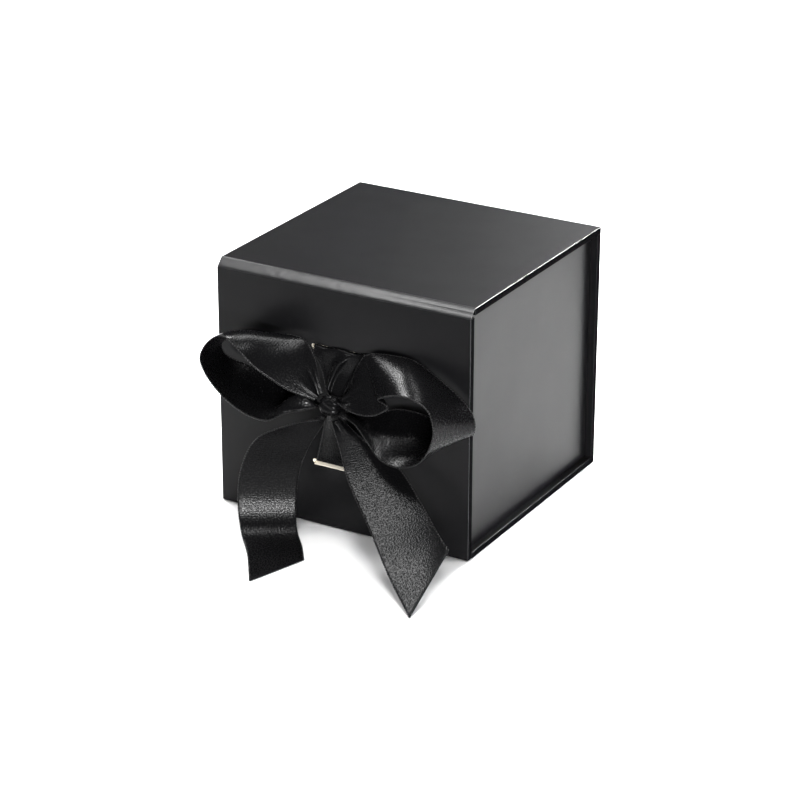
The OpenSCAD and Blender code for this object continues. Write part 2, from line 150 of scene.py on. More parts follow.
def carve(piece, low, high):
    cut_away(piece, block_piece("cutter", low, high))


def round_edges(piece, radius, wide=lambda middle: False):
    """Rounds the sharp edges, to the wide radius where the edge's middle, in millimetres, passes the test."""
    mesh = bmesh.new()
    mesh.from_mesh(piece.data)
    weight = mesh.edges.layers.float.new("bevel_weight_edge")
    for edge in mesh.edges:
        if edge.calc_face_angle(0) > SHARP_ANGLE:
            middle = (edge.verts[0].co + edge.verts[1].co) / 2 / MM
            edge[weight] = 1.0 if wide(middle) else radius / WIDE_R
    mesh.to_mesh(piece.data)
    mesh.free()
    apply_modifier(piece, "BEVEL", width=WIDE_R * MM, segments=4, limit_method="WEIGHT")
    pick(piece)
    bpy.ops.object.shade_smooth_by_angle(angle=SMOOTH_ANGLE)
    apply_modifier(piece, "WEIGHTED_NORMAL", keep_sharp=True)


def face_outward(piece):
    pick(piece)
    bpy.ops.object.mode_set(mode="EDIT")
    bpy.ops.mesh.select_all(action="SELECT")
    bpy.ops.mesh.normals_make_consistent(inside=False)
    bpy.ops.object.mode_set(mode="OBJECT")


def dress(piece, finish):
    piece.data.materials.clear()
    piece.data.materials.append(finish)


# %% [markdown]
# ## Colours and nodes
# Colours are picked as sRGB hex values and turned to the linear values that shaders expect.
# One function adds a node, sets its options and either links a socket or sets its number.

# %% Colour and node tools
def colour(code):
    channels = [int(code[i:i + 2], 16) / 255 for i in (1, 3, 5)]
    return (*[c / 12.92 if c <= 0.04045 else ((c + 0.055) / 1.055) ** 2.4 for c in channels], 1)


def add(tree, kind, options=None, inputs=None):
    node = tree.nodes.new(kind)
    for key, value in (options or {}).items():
        setattr(node, key, value)
    for key, value in (inputs or {}).items():
        if isinstance(value, bpy.types.NodeSocket):
            tree.links.new(value, node.inputs[key])
        else:
            node.inputs[key].default_value = value
    return node


def finish_named(name):
    finish = bpy.data.materials.new(name)
    finish.use_nodes = True
    tree = finish.node_tree
    tree.nodes.clear()
    shader = add(tree, "ShaderNodeBsdfPrincipled")
    add(tree, "ShaderNodeOutputMaterial", inputs={"Surface": shader.outputs[0]})
    return finish, tree, shader


def join(tree, output, node, socket):
    tree.links.new(output, node.inputs[socket])


# %% [markdown]
# ## Laminated black paper
# The case is covered with printed art paper under a satin plastic film. The film gives a soft,
# wide reflection with a slight waviness, because the board below is never quite flat.
# The fine grain is drawn at 0.9 mm so that it shows at this picture size.
# Where the paper is stretched over a panel's narrow side the film goes dull. Along the lid's edges, which
# are handled most, it is polished, and in the folds it is creased. Down the flap's front edges the paper is
# painted much lighter: a painted highlight, the bright line along those edges. So one function makes five
# finishes.

# %% Laminated black paper
def laminated(name, dark, light, roughness, gloss):
    finish, tree, shader = finish_named(name)
    where = add(tree, "ShaderNodeTexCoord").outputs["Object"]
    tone = add(tree, "ShaderNodeTexNoise", inputs={"Vector": where, "Scale": 60.0, "Detail": 3.0})
    mix = add(tree, "ShaderNodeMix", {"data_type": "RGBA"}, {
        0: tone.outputs["Fac"], 6: colour(dark), 7: colour(light),
    })
    join(tree, mix.outputs[2], shader, "Base Color")
    haze = add(tree, "ShaderNodeTexNoise", inputs={"Vector": where, "Scale": 35.0, "Detail": 2.0})
    haze_range = add(tree, "ShaderNodeMapRange", inputs={
        "Value": haze.outputs["Fac"], "To Min": roughness - 0.04, "To Max": roughness + 0.04,
    })
    join(tree, haze_range.outputs["Result"], shader, "Roughness")
    grain = add(tree, "ShaderNodeTexNoise", inputs={"Vector": where, "Scale": 1 / (0.9 * MM), "Detail": 2.0})
    swell = add(tree, "ShaderNodeTexNoise", inputs={"Vector": where, "Scale": 1 / (28 * MM), "Detail": 1.0})
    swell_bump = add(tree, "ShaderNodeBump", inputs={
        "Height": swell.outputs["Fac"], "Strength": 0.35, "Distance": 0.4 * MM,
    })
    grain_bump = add(tree, "ShaderNodeBump", inputs={
        "Height": grain.outputs["Fac"], "Normal": swell_bump.outputs["Normal"],
        "Strength": 0.12, "Distance": 0.03 * MM,
    })
    join(tree, grain_bump.outputs["Normal"], shader, "Normal")
    shader.inputs["IOR"].default_value = 1.5
    shader.inputs["Specular IOR Level"].default_value = gloss
    return finish


case_paper = laminated("satin_laminated_black_paper", "#070708", "#0b0b0c", 0.34, 0.08)
dull_paper = laminated("stretched_paper_on_panel_sides", "#070708", "#0b0b0c", 0.5, 0.0)
polished_paper = laminated("polished_paper_on_panel_edges", "#0e0e0f", "#161617", 0.27, 0.6)
creased_paper = laminated("creased_paper_in_the_folds", "#0e0e0f", "#161617", 0.29, 0.3)
# A much lighter copy of the paper: a painted highlight for the flap's rounded front edges.
highlight_painted_paper = laminated("paper_with_painted_highlight_on_flap_edges", "#3a3a3c", "#5a5a5c", 0.3, 0.6)
print("the case's paper:", case_paper.name, "with", len(case_paper.node_tree.nodes), "nodes")

# %% [markdown]
# ## Lining paper, boards and metal
# The linings are uncoated black paper, dull and fibrous. The walls are grey board pressed from
# recycled fibre, with darker specks; the flap's board has a cream core, which shows in the slits.
# The magnets and catch plates are nickel plated, and sealed under the papers.

# %% Lining paper, boards and metal
def fibrous(name, dark, light, fibre, roughness, depth, gloss=0.3):
    finish, tree, shader = finish_named(name)
    where = add(tree, "ShaderNodeTexCoord").outputs["Object"]
    fibres = add(tree, "ShaderNodeTexNoise", inputs={
        "Vector": where, "Scale": 1 / (fibre * MM), "Detail": 4.0, "Distortion": 1.5,
    })
    ramp = add(tree, "ShaderNodeMix", {"data_type": "RGBA"}, {
        0: fibres.outputs["Fac"], 6: colour(dark), 7: colour(light),
    })
    join(tree, ramp.outputs[2], shader, "Base Color")
    bump = add(tree, "ShaderNodeBump", inputs={
        "Height": fibres.outputs["Fac"], "Strength": 0.4, "Distance": depth * MM,
    })
    join(tree, bump.outputs["Normal"], shader, "Normal")
    shader.inputs["Roughness"].default_value = roughness
    shader.inputs["Specular IOR Level"].default_value = gloss
    return finish


lining_paper = fibrous("uncoated_black_lining_paper", "#131314", "#1b1b1d", 1.4, 0.8, 0.03, 0.06)
grey_board = fibrous("grey_board", "#8d8778", "#b9b2a2", 1.1, 0.9, 0.05)
core_board = fibrous("cream_core_board", "#d9d0bc", "#f4eee0", 0.8, 0.85, 0.05)
stay_paper = fibrous("kraft_stay_paper", "#b79a6c", "#cdb488", 1.2, 0.8, 0.03)

plated_steel, tree, shader = finish_named("nickel_plated_steel")
where = add(tree, "ShaderNodeTexCoord").outputs["Object"]
brush = add(tree, "ShaderNodeTexNoise", inputs={"Vector": where, "Scale": 1 / (0.6 * MM), "Detail": 3.0})
brush_range = add(tree, "ShaderNodeMapRange", inputs={
    "Value": brush.outputs["Fac"], "To Min": 0.22, "To Max": 0.4,
})
join(tree, brush_range.outputs["Result"], shader, "Roughness")
shader.inputs["Base Color"].default_value = colour("#c9c7c2")
shader.inputs["Metallic"].default_value = 1.0

for name, node in nodes.items():
    if name == "flap_board":
        dress(node, core_board)
    elif name.endswith("_board"):
        dress(node, grey_board)
    elif name.endswith("_lining"):
        dress(node, lining_paper)
    elif name.startswith("stay"):
        dress(node, stay_paper)
    elif name.startswith("magnet"):
        dress(node, plated_steel)
    elif name.startswith("catch"):
        dress(node, plated_steel)
print("boards, linings and metal are dressed where they stand")

# %% [markdown]
# ## Woven satin ribbon
# Double-face satin is woven so that long shiny threads lie along the ribbon and cover the rest.
# What shows is fine ribs across the ribbon, one for each weft thread, broken into specks where the
# threads dip under. A speck is smoother than the threads round it, so a highlight breaks up into glints.
# On the ribbon's own UV map the ribs are drawn 0.95 mm apart and the specks 0.65 mm wide: a little coarser
# than life so that they show. The thread at the ribbon's sides has a sheen much like the paper's film,
# so it comes from the same function.

# %% Woven satin ribbon
RIB_APART, SPECK = 0.95, 0.65
# A wave texture of scale 1 has one band in this length.
WAVE_BAND = 0.314

satin, tree, shader = finish_named("woven_black_satin")
uv = add(tree, "ShaderNodeUVMap", {"uv_map": "weave"}).outputs["UV"]
ribs = add(tree, "ShaderNodeTexWave", {"bands_direction": "X"}, {
    "Vector": uv, "Scale": WAVE_BAND / (RIB_APART * MM), "Distortion": 0.6, "Detail": 1.0,
})
speckle = add(tree, "ShaderNodeTexNoise", inputs={"Vector": uv, "Scale": 1 / (SPECK * MM), "Detail": 0.0})
weave = add(tree, "ShaderNodeMath", {"operation": "MULTIPLY_ADD"}, {
    0: ribs.outputs["Fac"], 1: 0.12, 2: speckle.outputs["Fac"],
})
thread_tone = add(tree, "ShaderNodeMix", {"data_type": "RGBA"}, {
    0: weave.outputs[0], 6: colour("#020202"), 7: colour("#09090a"),
})
join(tree, thread_tone.outputs[2], shader, "Base Color")
weave_bump = add(tree, "ShaderNodeBump", inputs={
    "Height": weave.outputs[0], "Strength": 0.8, "Distance": 0.09 * MM,
})
join(tree, weave_bump.outputs["Normal"], shader, "Normal")
along = add(tree, "ShaderNodeTangent", {"direction_type": "UV_MAP", "uv_map": "weave"})
join(tree, along.outputs["Tangent"], shader, "Tangent")
glint = add(tree, "ShaderNodeMapRange", inputs={
    "Value": speckle.outputs["Fac"], "From Min": 0.3, "From Max": 0.7, "To Min": 0.36, "To Max": 0.12,
})
join(tree, glint.outputs["Result"], shader, "Roughness")
shader.inputs["Anisotropic"].default_value = 0.4
shader.inputs["Specular IOR Level"].default_value = 0.06

selvedge = laminated("turned_selvedge_thread", "#030303", "#0a0a0b", 0.32, 0.16)
print(satin.name, "and", selvedge.name)

# %% [markdown]
# ## The covered panels
# Each panel of the case is a board with paper drawn round its edges. A cube is set to the panel's
# outer size, a shallow bed is carved where a lining lies, and every edge is rounded. The lid's side edges,
# which are knocked and pressed most, fall away over the last two millimetres. The spine's lower end reaches
# a little into the base's rounded edge, so that no board shows between them.
# The cover hides the plain folded paper of the construction model and keeps its place.

# %% Covered panels
HALF_WIDTH = 55.0
FRONT, BACK, TOP = -53.25, 53.25, 101.0
PANEL = 2.6
FRONT_GAP, BACK_GAP = 3.3, 0.3
LID_FRONT, FLAP_TOP = FRONT + FRONT_GAP, TOP - FRONT_GAP
LID_BACK, SPINE_TOP = BACK - BACK_GAP, TOP - PANEL - BACK_GAP
SPINE_LOW = 2.2
HAIR = 0.01
NEAR_SIDE = HALF_WIDTH - 2


def bed_for(piece, lining, slack=0.02):
    low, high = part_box(lining)
    grow = Vector((slack, slack, slack))
    carve(piece, low / MM - grow, high / MM + grow)


def cover(piece, node, body, edge_finish):
    """Paper on the faces, the edge finish along the rounded edges at left and right, and dull paper on the
    narrow sides. A face's lean is how far it turns to the left or right."""
    dress(piece, case_paper)
    piece.data.materials.append(edge_finish)
    piece.data.materials.append(dull_paper)
    for face in piece.data.polygons:
        lean = abs(face.normal.x)
        if lean > 0.05 and abs(face.center.x) > NEAR_SIDE * MM:
            face.material_index = 2 if lean > 0.75 else 1
    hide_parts(node)
    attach(piece, body)
    print(piece.name, len(piece.data.polygons), "faces")


lid_cover = block_piece("lid_cover", (-HALF_WIDTH, LID_FRONT, TOP - PANEL), (HALF_WIDTH, LID_BACK, TOP))
bed_for(lid_cover, "lid_lining")
round_edges(lid_cover, EDGE_R, lambda middle: middle.z > TOP - 0.1 and middle.y > LID_FRONT + 1)
reach = (WIDE_R + HAIR) * MM
for vertex in lid_cover.data.vertices:
    inset = HALF_WIDTH * MM - abs(vertex.co.x)
    if vertex.co.z > TOP * MM - reach and inset < reach:
        vertex.co.x = math.copysign(HALF_WIDTH * MM - 2 * inset, vertex.co.x)
apply_modifier(lid_cover, "WEIGHTED_NORMAL", keep_sharp=True)
cover(lid_cover, "lid_wrap", "lid", polished_paper)

base_cover = block_piece("base_cover", (-HALF_WIDTH, LID_FRONT, 0), (HALF_WIDTH, BACK, PANEL))
round_edges(base_cover, EDGE_R)
cover(base_cover, "base_wrap", "base", case_paper)

spine_front = BACK - PANEL + HAIR
spine_cover = block_piece("spine_cover", (-HALF_WIDTH, spine_front, SPINE_LOW), (HALF_WIDTH, BACK, SPINE_TOP))
round_edges(spine_cover, EDGE_R)
cover(spine_cover, "spine_wrap", "base", case_paper)

# %% [markdown]
# ## The flap and its slits
# The flap is one more covered panel, with two slits for the ribbon. The cutter is a cube whose four
# edges along the cut are beveled until its ends are round. The knife goes in at a slant, so the lower lip
# of the board is cut to a slope, and the paper is cut a hair wider than the board: the cream core shows
# there as a line.

# %% The flap and its slits
FLAP_LOW, FLAP_BACK = 0.5, FRONT + PANEL
SLITS = (26.65, 74.15)
SLIT_L, SLIT_H = 26.0, 1.5
SLIT_FROM, SLIT_TO = FRONT - 1, FRONT + 4.25
SLIT_ROUNDING = 0.98
LIP_DEPTH, LIP_DROP, LIP_INSET = 1.65, 1.1, 0.5
PAPER_PAST = 0.12


def slit_cutter(z, past):
    half_l, half_h = SLIT_L / 2 + past, SLIT_H / 2 + past
    cutter = block_piece("cutter", (-half_l, SLIT_FROM, z - half_h), (half_l, SLIT_TO, z + half_h))
    bpy.ops.object.mode_set(mode="EDIT")
    mesh = bmesh.from_edit_mesh(cutter.data)
    for edge in mesh.edges:
        span = edge.verts[0].co - edge.verts[1].co
        edge.select = abs(span.y) > 1e-5
    bmesh.update_edit_mesh(cutter.data)
    bpy.ops.mesh.bevel(offset=half_h * MM * SLIT_ROUNDING, segments=6)
    bpy.ops.object.mode_set(mode="OBJECT")
    return cutter


def lip_cutter(z, past):
    """A wedge that lies on the slope of a slit's lower lip."""
    half_l, low = SLIT_L / 2 - LIP_INSET, z - SLIT_H / 2 - past
    cutter = block_piece("cutter", (-half_l, SLIT_FROM, low), (half_l, FRONT + LIP_DEPTH, z))
    for vertex in cutter.data.vertices:
        if vertex.co.z < (z - 0.1) * MM and vertex.co.y < FRONT * MM:
            vertex.co.z -= LIP_DROP * MM
    return cutter


def is_front_side(middle):
    return abs(middle.x) > HALF_WIDTH - 0.1 and middle.y < FRONT + 0.1


flap_cover = block_piece("flap_cover", (-HALF_WIDTH, FRONT, FLAP_LOW), (HALF_WIDTH, FLAP_BACK, FLAP_TOP))
bed_for(flap_cover, "flap_lining")
round_edges(flap_cover, EDGE_R, is_front_side)
low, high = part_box("flap_board")
flap_core = block_piece("flap_core", low / MM, high / MM)
for panel, past in ((flap_cover, PAPER_PAST), (flap_core, 0)):
    for z in SLITS:
        cut_away(panel, slit_cutter(z, past))
        cut_away(panel, lip_cutter(z, past))
# The flap's rounded front edges take the much lighter paper: a painted highlight along those edges.
cover(flap_cover, "flap_wrap", "flap", highlight_painted_paper)
dress(flap_core, core_board)
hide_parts("flap_board")
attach(flap_core, "flap")
print(flap_core.name, len(flap_core.data.polygons), "faces")

# %% [markdown]
# ## The tray
# The tray's paper goes up the walls, over the rim and 15 mm down inside. A cube is carved right through for
# the inside and once more, wider by the paper, below the turned-down strip, where the lining takes over.

# %% The tray
TRAY_HALF, TRAY_FRONT, TRAY_BACK, TRAY_LOW, TRAY_TOP = 51.8, -49.95, 50.85, 2.4, 98.1
TRAY_EDGE_R = 0.35
TURNED_IN, TURN_PAPER = 15.0, 0.22


def carve_inside(piece, wall, top):
    half = TRAY_HALF - wall
    carve(piece, (-half, TRAY_FRONT + wall, 0), (half, TRAY_BACK - wall, top))


tray_low, tray_high = (-TRAY_HALF, TRAY_FRONT, TRAY_LOW), (TRAY_HALF, TRAY_BACK, TRAY_TOP)
tray_cover = block_piece("tray_cover", tray_low, tray_high)
carve_inside(tray_cover, PANEL, TRAY_TOP + 1.9)
carve_inside(tray_cover, PANEL - TURN_PAPER, TRAY_TOP - TURNED_IN)
round_edges(tray_cover, TRAY_EDGE_R)
dress(tray_cover, case_paper)
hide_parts("tray_wrap")
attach(tray_cover, "base")
print(tray_cover.name, len(tray_cover.data.polygons), "faces")

# %% [markdown]
# ## The stage
# A pale floor and plain soft boxes, as in a product studio. Black film and satin show little but
# reflections, so each box is there for one of them. One overhead, towards the back, lights the floor and the
# crests of the loops. A small one at the front left shows in the bevel, brighter towards its right end, and
# a long one over the front in the right tail. One at the left shows in the right loop, and one close to the
# floor at the front right in the left tail. A narrow one behind and one at the right light the floor that
# the side wall mirrors. Two behind show in the lid and in the bright line along its edge. Four more, high up
# and far out, only light the floor in the distance.

# %% The stage
FAR = 2.4

floor = primitive("floor", bpy.ops.mesh.primitive_plane_add, size=8, location=(0, 0, 0))
floor_finish, tree, shader = finish_named("pale_floor")
shader.inputs["Base Color"].default_value = colour("#c8c8c8")
shader.inputs["Roughness"].default_value = 0.8
shader.inputs["Specular IOR Level"].default_value = 0.1
floor.data.materials.append(floor_finish)

world = bpy.data.worlds.new("studio")
bpy.context.scene.world = world
world.use_nodes = True
world.node_tree.nodes["Background"].inputs["Color"].default_value = (1, 1, 1, 1)
world.node_tree.nodes["Background"].inputs["Strength"].default_value = 0.12
bpy.context.scene.view_settings.view_transform = "Standard"


def soft_box(name, place, aim, size, power, spread=180):
    data = bpy.data.lights.new(name, "AREA")
    data.shape = "RECTANGLE"
    data.size, data.size_y = size
    data.energy = power
    data.spread = math.radians(spread)
    light = bpy.data.objects.new(name, data)
    bpy.context.scene.collection.objects.link(light)
    light.location = place
    light.rotation_euler = (Vector(aim) - Vector(place)).to_track_quat("-Z", "Y").to_euler()
    light.visible_camera = False


soft_box("overhead_box", (-0.03, 0.55, 1.2), (-0.03, 0.55, 0), (0.5, 0.7), 24)
soft_box("front_left_box", (-0.43, -0.45, 1.0), (0, -0.05, 0.06), (0.2, 0.2), 4.5)
soft_box("front_box", (-0.02, -0.21, 1.1), (-0.08, -0.105, 0.05), (0.16, 0.9), 22)
soft_box("left_box", (-0.6, 0.15, 0.62), (0, -0.05, 0.06), (0.26, 0.26), 10)
soft_box("low_box", (0.72, -0.98, 0.055), (0, -0.07, 0.03), (0.5, 0.085), 30)
soft_box("pool_box", (0.03, 0.6, 0.55), (0.11, 0.1, 0), (0.2, 0.2), 2.7, 50)
soft_box("right_box", (0.6, 0.2, 0.7), (0.08, 0, 0), (0.25, 0.25), 5.5)
soft_box("back_box", (-0.06, 0.48, 0.31), (0.02, 0, 0.1), (0.28, 0.22), 0.12)
soft_box("edge_box", (0.03, 0.48, 0.46), (0.05, 0, 0.1), (0.26, 0.14), 2.1)
for x, y in ((-FAR, -FAR), (FAR, -FAR), (-FAR, FAR), (FAR, FAR)):
    soft_box("far_floor_box", (x, y, 2), (x, y, 0), (1, 1), 90, 110)
print("lights:", len(bpy.data.lights))

# %% [markdown]
# ## The ribbon
# The ribbon is drawn between its two edges. Each edge runs through points in millimetres: across from the
# box's middle, out from the flap's face, and up from the knot for a loop or from the table for a tail. The
# last pair of numbers on a line lifts the cloth between the edges into an arch and a ridge.

# %% The ribbon's points
KNOT_Y, KNOT_Z = -61.25, 55.0
RIBBON_W, RIBBON_T = 22.0, 0.3
LIFT = 0.45
LEFT_LOOP = [
    [[-4.9, 10.6, 2.6], [-4.9, 6.4, 3.2], [0, 0]],
    [[-9, 13, 4], [-6.6, 5.8, 9.5], [1, 0]],
    [[-14.1, 15.5, 6.2], [-9, 5, 16.8], [1.5, 0]],
    [[-19.5, 18, 10], [-14, 4, 22.4], [1.8, 0]],
    [[-25.5, 20.8, 15], [-23.5, 3, 22.6], [3.4, 0]],
    [[-31.5, 23, 22], [-34, 2.7, 19.8], [4, 0]],
    [[-37.5, 23.8, 26.2], [-44, 3.5, 17], [2.2, 0]],
    [[-43.5, 24.3, 22.8], [-50.5, 3, 14.8], [0.5, 0]],
    [[-47.2, 24.6, 16], [-52, 3, 11.8], [0, 0]],
    [[-45, 24.5, 9.5], [-50.3, 2.7, 8.6], [0, 0]],
    [[-39.5, 24, 3], [-45, 2.5, 7], [-0.8, 0]],
    [[-33, 23, -2], [-37, 2.6, 6], [-1.5, 0]],
    [[-26.5, 22, -4.9], [-28, 3, 5], [-1.5, 0]],
    [[-20.5, 20.4, -5.8], [-19, 4, 4], [-0.8, 1]],
    [[-14.5, 17, -2.9], [-12, 4.8, 2], [0, 4.5]],
    [[-9, 14, -1.8], [-8, 5.4, 0.3], [0, 4.8]],
    [[-4.9, 10.6, -1.2], [-4.9, 6.4, -2], [0, 1.4]],
]
RIGHT_LOOP = [
    [[4.9, 10.6, 2.6], [4.9, 6.4, 3.2], [0, 0]],
    [[11, 12.2, 1.6], [6.7, 5.2, 8.5], [0.8, 0]],
    [[17.5, 13.2, 1.7], [8.6, 4.3, 14.5], [0.8, 0]],
    [[23.5, 14, 3.6], [10, 3.8, 17.5], [0.8, 0]],
    [[28.5, 14.2, 7.8], [11.3, 3.5, 19.8], [0, 0]],
    [[24.5, 14.6, 10], [12.5, 3.2, 21.2], [0, 0]],
    [[28, 16.8, 12.6], [16, 2.8, 22.4], [0.8, 0]],
    [[33, 19.5, 15.2], [24, 2.5, 23.2], [1.2, 0]],
    [[38.5, 21.5, 16.9], [33, 2.5, 22.8], [1.2, 0]],
    [[45, 23.3, 17.2], [42.5, 2.5, 18.2], [0.8, 0]],
    [[51, 24.4, 14.8], [51.5, 2.5, 12.5], [0, 0]],
    [[53.3, 24.7, 9], [57.3, 2.6, 7.2], [0, 0]],
    [[52.8, 24.4, 3.8], [59, 3, 2], [0, 0]],
    [[50.3, 23.7, -2.2], [57, 3, -1.4], [0, 0]],
    [[46, 22.8, -7.6], [50.5, 3.2, -0.8], [0, 0]],
    [[38.5, 21.2, -11.6], [41, 3, 1.8], [-1, 0]],
    [[31.5, 19.4, -12.6], [33, 3, 2.8], [-1.5, 0]],
    [[25.5, 17.5, -11.3], [25.5, 3.4, 2.2], [-1.5, 0]],
    [[20, 15.2, -7.3], [17.5, 4.4, -0.6], [-0.5, 0]],
    [[12.5, 12.8, -2], [10, 5.4, -2], [0, 0]],
    [[4.9, 10.6, -1.2], [4.9, 6.4, -2], [0, 0]],
]
LEFT_TAIL = [
    [[-3.5, 11, 49.9], [-2, 6.5, 49.9], [0, 0]],
    [[-13, 15.5, 46.9], [-4.5, 8, 44.7], [0, 0]],
    [[-25, 20.5, 40.4], [-9, 9.5, 36.5], [0, 0]],
    [[-31, 22.5, 27.8], [-13, 10, 25.6], [0, 0]],
    [[-32, 23.8, 13.5], [-14, 11.3, 12.4], [0, 0]],
    [[-28.6, 27.1, 3.3], [-11.6, 14.6, 3.3], [0, 0]],
    [[-19.5, 37, 0.2], [-5.5, 21, 0.2], [0, 0]],
    [[-7, 55, 0], [1, 30, 0], [0, 0]],
]
RIGHT_TAIL = [
    [[2.1, 11.5, 49.9], [3.6, 6.5, 49.9], [0, 0]],
    [[7.5, 14.5, 42.5], [15, 8.5, 43.6], [0, 0]],
    [[15, 20.5, 32.2], [30, 9, 36], [0, 0]],
    [[29, 29, 19.6], [44, 14.5, 25.1], [0, 0]],
    [[43, 39, 8.2], [52, 18, 18], [0, 0]],
    [[59, 51, 0], [58, 20.5, 13.6], [0, 0]],
]
print("points along the loops:", len(LEFT_LOOP), "and", len(RIGHT_LOOP))

# %% [markdown]
# ## From points to cloth
# A smooth curve goes through each edge's points. Between the edges the cloth is straight, apart from the arch
# and the ridge, and close to the knot, where the edges come together, it lies in small pleats.

# %% The ribbon's surface
PLEATED_SHARE = 0.16


def unit(vectors):
    return vectors / np.maximum(np.linalg.norm(vectors, axis=-1, keepdims=True), 1e-9)


def lengths_along(path):
    return np.r_[0, np.cumsum(np.linalg.norm(np.diff(path, axis=0), axis=1))]


def through(points, steps):
    """A smooth curve through the points (Catmull-Rom), with so many steps from point to point."""
    points = np.array(points, float)
    padded = np.vstack([2 * points[0] - points[1], points, 2 * points[-1] - points[-2]])
    t = (np.arange(steps) / steps)[:, None]
    curve = [
        0.5 * (2 * b + (c - a) * t + (2 * a - 5 * b + 4 * c - d) * t**2 + (3 * b - a - 3 * c + d) * t**3)
        for a, b, c, d in zip(padded, padded[1:], padded[2:], padded[3:])
    ]
    return np.vstack([*curve, points[-1:]])


def cloth_between(near, far, rise, both_ends, columns=44):
    over = np.linspace(0, 1, columns + 1)
    grid = near[:, None] * (1 - over[:, None]) + far[:, None] * over[:, None]
    arch, ridge = 4 * over * (1 - over), np.exp(-(((over - 0.3) / 0.15) ** 2))
    grid[..., 2] += rise[:, :1] * arch + rise[:, 1:] * ridge
    share = np.linspace(0, 1, len(near))
    hold = np.maximum(0, 1 - share / PLEATED_SHARE) ** 2
    if both_ends:
        hold += np.maximum(0, 1 - (1 - share) / PLEATED_SHARE) ** 2
    face = unit(np.cross(np.gradient(near + far, axis=0), far - near))
    pleats = 0.6 * np.cos(3 * math.pi * over) + 0.16 * np.cos(9 * math.pi * over + 0.8)
    return grid + face[:, None] * (hold[:, None] * pleats)[..., None]


def cloth_through(stations, from_z, both_ends, steps=14):
    near, far, rise = (through([s[i] for s in stations], steps) for i in range(3))
    near, far = (np.stack([p[:, 0], FRONT - p[:, 1], from_z + p[:, 2]], 1) for p in (near, far))
    return cloth_between(near, far, rise, both_ends)


# %% [markdown]
# ## The selvedge
# A woven ribbon doesn't fray at its sides, because each weft thread turns round there and goes back.
# Those turns stand up as a row of tiny beads. They are swept as a tube whose radius swells once for each
# turn, 1.05 mm apart, which is a little coarser than life so that they show. The sheet itself is thickened
# to the ribbon's 0.3 mm.

# %% Sheets with beaded edges
BEAD_APART, BEAD_STEP = 1.05, 0.19
BEAD_R, BEAD_SWELL, BEAD_END_R = 0.23, 0.13, 0.02


def mesh_piece(name, points, faces, uvs, finish):
    mesh = bpy.data.meshes.new(name)
    mesh.materials.append(finish)
    mesh.from_pydata((points * MM).tolist(), [], faces.tolist())
    weave = mesh.uv_layers.new(name="weave")
    corners = np.zeros(len(mesh.loops), int)
    mesh.loops.foreach_get("vertex_index", corners)
    weave.data.foreach_set("uv", (uvs[corners] * MM).ravel())
    piece = bpy.data.objects.new(name, mesh)
    bpy.context.scene.collection.objects.link(piece)
    pick(piece)
    bpy.ops.object.shade_smooth()
    return piece


def quads(rows, columns, closed=False):
    index = np.arange(rows * columns).reshape(rows, columns)
    if closed:
        index = np.hstack([index, index[:, :1]])
    return np.stack([index[:-1, :-1], index[:-1, 1:], index[1:, 1:], index[1:, :-1]], -1).reshape(-1, 4)


def beaded_edge(name, edge, inner, sides=6):
    length = lengths_along(edge)
    at = np.arange(0, length[-1], BEAD_STEP)
    path, beside = (np.stack([np.interp(at, length, p[:, i]) for i in range(3)], 1) for p in (edge, inner))
    run = unit(np.gradient(path, axis=0))
    side = unit(np.cross(np.cross(run, beside - path), run))
    lift = np.cross(run, side)
    radius = BEAD_R + BEAD_SWELL * np.cos(2 * math.pi * at / BEAD_APART)
    radius[[0, -1]] = BEAD_END_R
    angle = np.arange(sides) * 2 * math.pi / sides
    ring = np.cos(angle)[:, None] * side[:, None] + np.sin(angle)[:, None] * lift[:, None]
    points = path[:, None] + radius[:, None, None] * ring
    uvs = np.repeat(np.stack([at, np.zeros_like(at)], 1), sides, axis=0)
    return mesh_piece(name, points.reshape(-1, 3), quads(len(at), sides, closed=True), uvs, selvedge)


def sheet_piece(name, grid):
    rows, columns = grid.shape[:2]
    run = lengths_along(grid.mean(1))
    along, over = np.meshgrid(run, np.linspace(0, RIBBON_W, columns), indexing="ij")
    uvs = np.stack([along.ravel(), over.ravel()], 1)
    piece = mesh_piece(name, grid.reshape(-1, 3), quads(rows, columns), uvs, satin)
    apply_modifier(piece, "SOLIDIFY", thickness=RIBBON_T * MM, offset=0)
    edges = [beaded_edge(name + "_bead", grid[:, i], grid[:, j]) for i, j in ((0, 1), (-1, -2))]
    pick(piece)
    for edge in edges:
        edge.select_set(True)
    bpy.ops.object.join()
    return piece, run[-1]


def ribbon(name, grid, held, *instead_of):
    piece, length = sheet_piece(name, grid)
    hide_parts(*instead_of)
    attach(piece, "flap")
    print(name, "length", round(length, 1), "mm,", len(piece.data.polygons), "faces")


# %% [markdown]
# ## Loops and tails
# A loop is gathered in the knot at both ends. A tail hangs from the knot to the table, and its lift keeps
# the beads just off the table.

# %% Loops and tails
ribbon("loop_left", cloth_through(LEFT_LOOP, KNOT_Z, True), "gathered", "bow_left_loop")
ribbon("loop_right", cloth_through(RIGHT_LOOP, KNOT_Z, True), "gathered", "bow_right_loop")
ribbon("tail_left", cloth_through(LEFT_TAIL, LIFT, False), "hung", "bow_left_tail")
ribbon("tail_right", cloth_through(RIGHT_TAIL, LIFT, False), "hung", "bow_right_tail")

# %% [markdown]
# ## The band through the flap
# The length that holds the bow comes forward through the upper slit, runs down to the knot, and does the
# same below. Behind the flap it lies flat. It is one sheet, so its path is drawn once, from the knot up and
# round to the knot again. Where it comes out of the upper slit it stands up in a small puff before it
# turns down.

